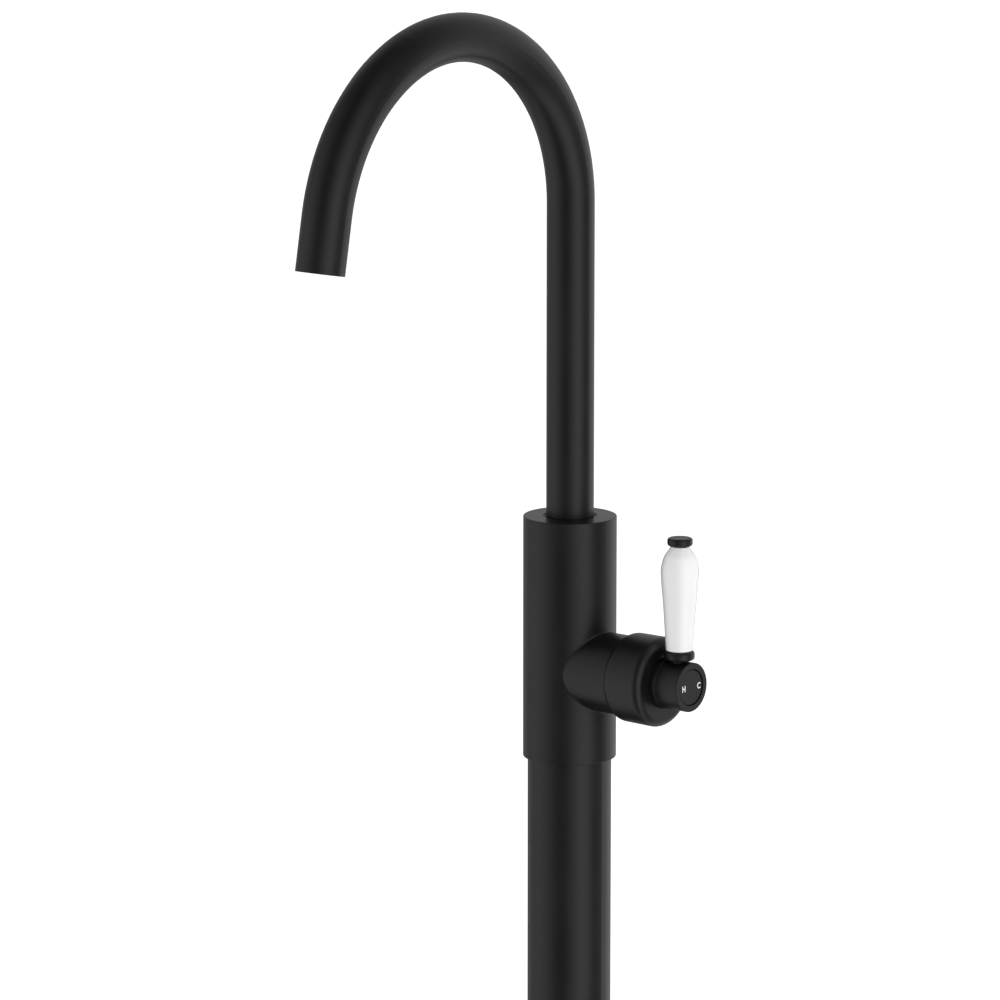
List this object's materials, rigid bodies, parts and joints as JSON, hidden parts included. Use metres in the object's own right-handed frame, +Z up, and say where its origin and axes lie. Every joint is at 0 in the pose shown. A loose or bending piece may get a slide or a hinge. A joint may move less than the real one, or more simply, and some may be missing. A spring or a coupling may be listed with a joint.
{
  "type": "floor standing bath filler",
  "caption": "Slim floor standing bath filler: round column, swivelling swan-neck spout, and a side lever valve with a white porcelain lever grip.",
  "frame": {"origin": "centre of the floor plate's underside, on the column's axis", "axes": "+Z up along the column, -Y the way the spout points, +X the way the lever valve points"},
  "size_m": [0.1451, 0.2699, 1.026],
  "materials": {
    "black_coating": "satin black coating on brass",
    "index_black": "satin black disc",
    "letter_white": "white filled letter",
    "porcelain": "glazed white porcelain",
    "ceramic": "lapped ceramic",
    "brass": "turned brass",
    "steel": "stainless steel",
    "white_plastic": "moulded plastic",
    "black_plastic": "moulded black plastic",
    "black_rubber": "rubber",
    "hose_braid": "rubber hose under a steel braid"
  },
  "bodies": {
    "stand": {"floor_plate": "brass", "floor_cover": "black_coating", "cover_grip_ring": "black_rubber", "column_tube": "black_coating", "column_lock_screw": "steel", "column_foot_screws": "steel", "hot_supply_hose": "hose_braid", "cold_supply_hose": "hose_braid", "hose_unions": "brass", "hose_ferrules": "steel", "union_seals": "black_rubber", "mixer_body": "black_coating", "spout_bush": "black_plastic", "spout_stop_screw": "steel", "cartridge_base": "white_plastic", "port_seals": "black_rubber", "fixed_ceramic_disc": "ceramic", "cartridge_housing": "white_plastic", "cartridge_nut": "brass", "bonnet_washer": "black_plastic", "bonnet": "black_coating"},
    "spout": {"spout_tube": "black_coating", "spout_tail": "brass", "spout_o_rings": "black_rubber", "aerator_housing": "black_plastic", "aerator_insert": "white_plastic", "aerator_washer": "black_rubber"},
    "rotor": {"cartridge_rotor": "white_plastic", "pivot_pin": "steel"},
    "moving_disc": {"moving_ceramic_disc": "ceramic", "disc_carrier": "white_plastic"},
    "handle": {"cartridge_stem": "steel", "lever_hub": "black_coating", "hub_set_screw": "steel", "index_disc": "index_black", "hot_letter": "letter_white", "cold_letter": "letter_white", "lever_stud": "steel", "lever_collar": "black_coating", "grip_washers": "black_plastic", "porcelain_grip": "porcelain", "lever_cap": "black_coating"}
  },
  "joints": [
    {"name": "spout_swivel", "type": "hinge", "parent": "stand", "child": "spout", "pos_m": [0, 0, 0.75], "axis": [0, 0, 1], "range_deg": [-60, 60]},
    {"name": "temperature_turn", "type": "hinge", "parent": "stand", "child": "rotor", "pos_m": [0.05, 0, 0.668], "axis": [1, 0, 0], "range_deg": [-45, 45]},
    {"name": "flow_tilt", "type": "hinge", "parent": "rotor", "child": "handle", "pos_m": [0.06585, 0, 0.668], "axis": [0, 1, 0], "range_deg": [0, 12]},
    {"name": "disc_slide", "type": "slide", "parent": "rotor", "child": "moving_disc", "axis": [0, 0, 1], "range_m": [0, 0.006]}
  ],
  "couplings": [
    {"joint": "disc_slide", "follows": "flow_tilt", "m_per_rad": 0.02745}
  ]
}
